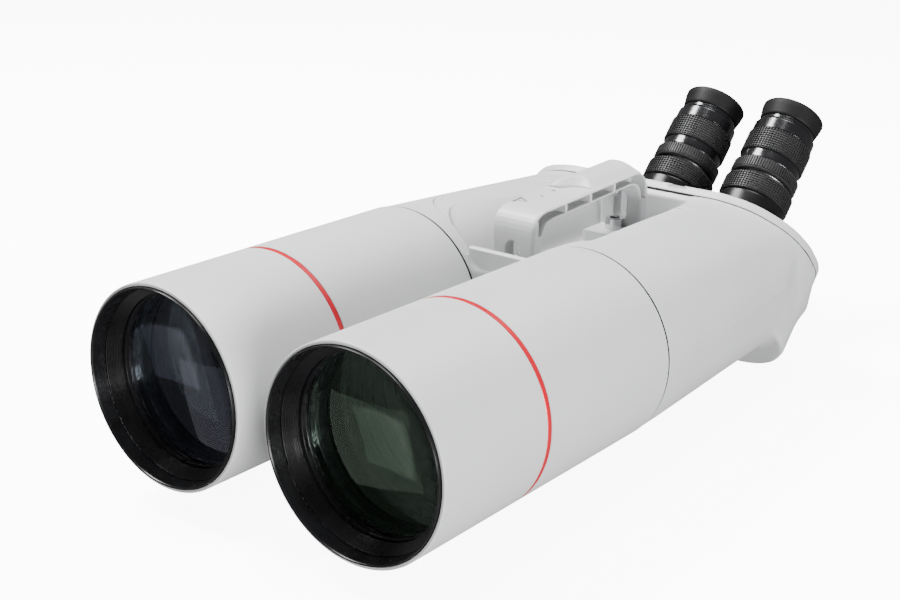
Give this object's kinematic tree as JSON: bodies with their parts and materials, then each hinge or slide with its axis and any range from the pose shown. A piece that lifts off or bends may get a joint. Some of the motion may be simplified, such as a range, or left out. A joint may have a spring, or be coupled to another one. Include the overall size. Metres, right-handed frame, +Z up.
{
  "type": "giant astronomy binoculars",
  "caption": "Giant binoculars for astronomy: two wide tubes with sliding dew shields, a shared rear housing with a carry handle, and slanted eyepieces on geared turrets.",
  "frame": {"origin": "centre of the mounting foot's lower face", "axes": "+X towards the user's left tube, +Y from the objective lenses towards the eyepieces, along the tubes, +Z up"},
  "size_m": [0.259, 0.5583, 0.1738],
  "materials": {
    "white_coat": "satin",
    "black_anodised": "satin",
    "red_anodised": "gloss",
    "gloss_black": "gloss",
    "grip_rubber": "matte",
    "bare_alloy": "satin",
    "chrome_steel": "polished",
    "felt": "matte",
    "coated_glass": "polished",
    "prism_glass": "polished"
  },
  "bodies": {
    "chassis": {"main_housing": "white_coat", "carry_handle": "white_coat", "handle_screw_front": "chrome_steel", "handle_screw_rear": "chrome_steel", "mounting_foot": "black_anodised", "foot_screw_front": "chrome_steel", "foot_screw_rear": "chrome_steel", "rear_cover": "white_coat", "left_main_tube": "black_anodised", "left_guide_ring": "felt", "left_lens_cell": "black_anodised", "left_cell_front_ring": "black_anodised", "left_retaining_ring": "black_anodised", "left_crown_lens": "coated_glass", "left_lens_spacer": "black_anodised", "left_flint_lens": "coated_glass", "left_light_baffle": "black_anodised", "left_prism_holder": "bare_alloy", "left_roof_prism": "prism_glass", "right_main_tube": "black_anodised", "right_guide_ring": "felt", "right_lens_cell": "black_anodised", "right_cell_front_ring": "black_anodised", "right_retaining_ring": "black_anodised", "right_crown_lens": "coated_glass", "right_lens_spacer": "black_anodised", "right_flint_lens": "coated_glass", "right_light_baffle": "black_anodised", "right_prism_holder": "bare_alloy", "right_roof_prism": "prism_glass"},
    "left_shield": {"left_dew_shield": "white_coat", "left_red_band": "red_anodised", "left_front_ring": "black_anodised"},
    "left_turret": {"left_turret_housing": "black_anodised", "left_rhomboid_prism": "prism_glass", "left_ipd_gear": "bare_alloy", "left_focuser_base": "black_anodised"},
    "left_focus": {"left_focus_ring": "grip_rubber"},
    "left_draw": {"left_drawtube": "bare_alloy"},
    "left_clamp": {"left_clamp_ring": "black_anodised"},
    "left_eyepiece": {"left_eyepiece_body": "gloss_black", "left_eyepiece_grip": "grip_rubber", "left_eye_lens": "coated_glass", "left_field_lens": "coated_glass"},
    "left_cup": {"left_eyecup": "grip_rubber"},
    "right_shield": {"right_dew_shield": "white_coat", "right_red_band": "red_anodised", "right_front_ring": "black_anodised"},
    "right_turret": {"right_turret_housing": "black_anodised", "right_rhomboid_prism": "prism_glass", "right_ipd_gear": "bare_alloy", "right_focuser_base": "black_anodised"},
    "right_focus": {"right_focus_ring": "grip_rubber"},
    "right_draw": {"right_drawtube": "bare_alloy"},
    "right_clamp": {"right_clamp_ring": "black_anodised"},
    "right_eyepiece": {"right_eyepiece_body": "gloss_black", "right_eyepiece_grip": "grip_rubber", "right_eye_lens": "coated_glass", "right_field_lens": "coated_glass"},
    "right_cup": {"right_eyecup": "grip_rubber"}
  },
  "joints": [
    {"name": "left_dew_shield_slide", "type": "slide", "parent": "chassis", "child": "left_shield", "axis": [0, -1, 0], "range_m": [0, 0.06]},
    {"name": "left_eye_distance", "type": "hinge", "parent": "chassis", "child": "left_turret", "pos_m": [0.0695, 0.16923, 0.08277], "axis": [0, 0.7071, 0.7071], "range_deg": [-7.2, 12.4]},
    {"name": "left_focus_turn", "type": "hinge", "parent": "left_turret", "child": "left_focus", "pos_m": [0.0335, 0.19002, 0.06198], "axis": [0, 0.7071, 0.7071], "range_deg": [-105, 190]},
    {"name": "left_focus_travel", "type": "slide", "parent": "left_turret", "child": "left_draw", "axis": [0, 0.7071, 0.7071], "range_m": [-0.0027, 0.0049]},
    {"name": "left_clamp_turn", "type": "hinge", "parent": "left_draw", "child": "left_clamp", "pos_m": [0.0335, 0.19002, 0.06198], "axis": [0, 0.7071, 0.7071], "range_deg": [-60, 60]},
    {"name": "left_eyepiece_pull", "type": "slide", "parent": "left_draw", "child": "left_eyepiece", "axis": [0, 0.7071, 0.7071], "range_m": [0, 0.036]},
    {"name": "left_eyecup_raise", "type": "slide", "parent": "left_eyepiece", "child": "left_cup", "axis": [0, 0.7071, 0.7071], "range_m": [0, 0.006]},
    {"name": "right_dew_shield_slide", "type": "slide", "parent": "chassis", "child": "right_shield", "axis": [0, -1, 0], "range_m": [0, 0.06]},
    {"name": "right_eye_distance", "type": "hinge", "parent": "chassis", "child": "right_turret", "pos_m": [-0.0695, 0.16923, 0.08277], "axis": [0, 0.7071, 0.7071], "range_deg": [-12.5, 7.3]},
    {"name": "right_focus_turn", "type": "hinge", "parent": "right_turret", "child": "right_focus", "pos_m": [-0.0335, 0.19002, 0.06198], "axis": [0, 0.7071, 0.7071], "range_deg": [-105, 190]},
    {"name": "right_focus_travel", "type": "slide", "parent": "right_turret", "child": "right_draw", "axis": [0, 0.7071, 0.7071], "range_m": [-0.0027, 0.0049]},
    {"name": "right_clamp_turn", "type": "hinge", "parent": "right_draw", "child": "right_clamp", "pos_m": [-0.0335, 0.19002, 0.06198], "axis": [0, 0.7071, 0.7071], "range_deg": [-60, 60]},
    {"name": "right_eyepiece_pull", "type": "slide", "parent": "right_draw", "child": "right_eyepiece", "axis": [0, 0.7071, 0.7071], "range_m": [0, 0.036]},
    {"name": "right_eyecup_raise", "type": "slide", "parent": "right_eyepiece", "child": "right_cup", "axis": [0, 0.7071, 0.7071], "range_m": [0, 0.006]}
  ],
  "couplings": [
    {"joint": "left_focus_turn", "follows": "left_focus_travel", "rad_per_m": 666.67},
    {"joint": "right_focus_turn", "follows": "right_focus_travel", "rad_per_m": 666.67},
    {"joint": "right_eye_distance", "follows": "left_eye_distance", "ratio": -1}
  ]
}
